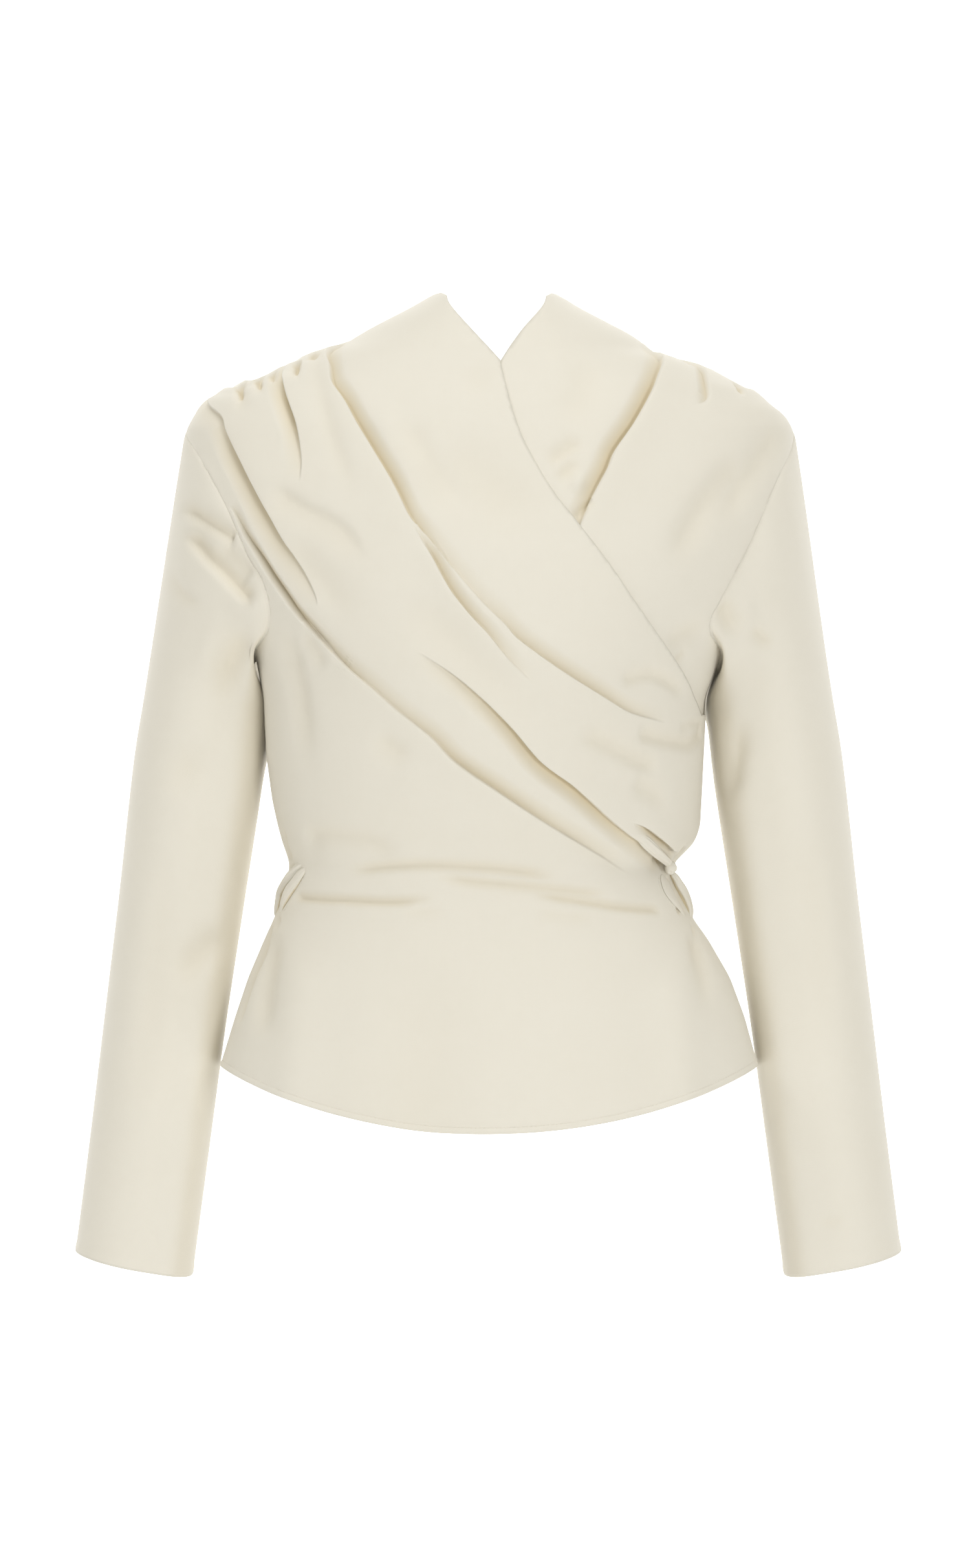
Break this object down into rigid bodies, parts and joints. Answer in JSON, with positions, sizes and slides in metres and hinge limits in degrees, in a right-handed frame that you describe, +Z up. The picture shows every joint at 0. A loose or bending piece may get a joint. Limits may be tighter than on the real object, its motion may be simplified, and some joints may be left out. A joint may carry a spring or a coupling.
{
  "type": "wrap top",
  "caption": "Long-sleeved wrap top with a grown-on stand collar, a pleated front crossing to a knotted waist tie and a flared peplum, in its worn hollow shape.",
  "frame": {"origin": "middle of the body between the shoulder seams, at the height where the shoulders hold the top up", "axes": "+Z up from the hem to the neck, -Y the way the wearer faces, +X the wearer's left"},
  "size_m": [0.5644, 0.249, 0.6662],
  "materials": {
    "body_cloth": "ivory plain-woven cotton with a soft sheen",
    "sleeve_cloth": "ivory plain-woven cotton with a soft sheen",
    "tie_cloth": "the same cotton, folded and stitched into narrow straps"
  },
  "bodies": {
    "root": {"front_right": "body_cloth", "front_left": "body_cloth", "back": "body_cloth", "sleeve_right": "sleeve_cloth", "sleeve_left": "sleeve_cloth", "tie_right_outer_strand": "tie_cloth", "tie_right_inner_strand": "tie_cloth", "tie_left_strap": "tie_cloth", "tie_left_outer_strand": "tie_cloth", "tie_left_inner_strand": "tie_cloth", "tie_left_knot": "tie_cloth"}
  },
  "joints": []
}
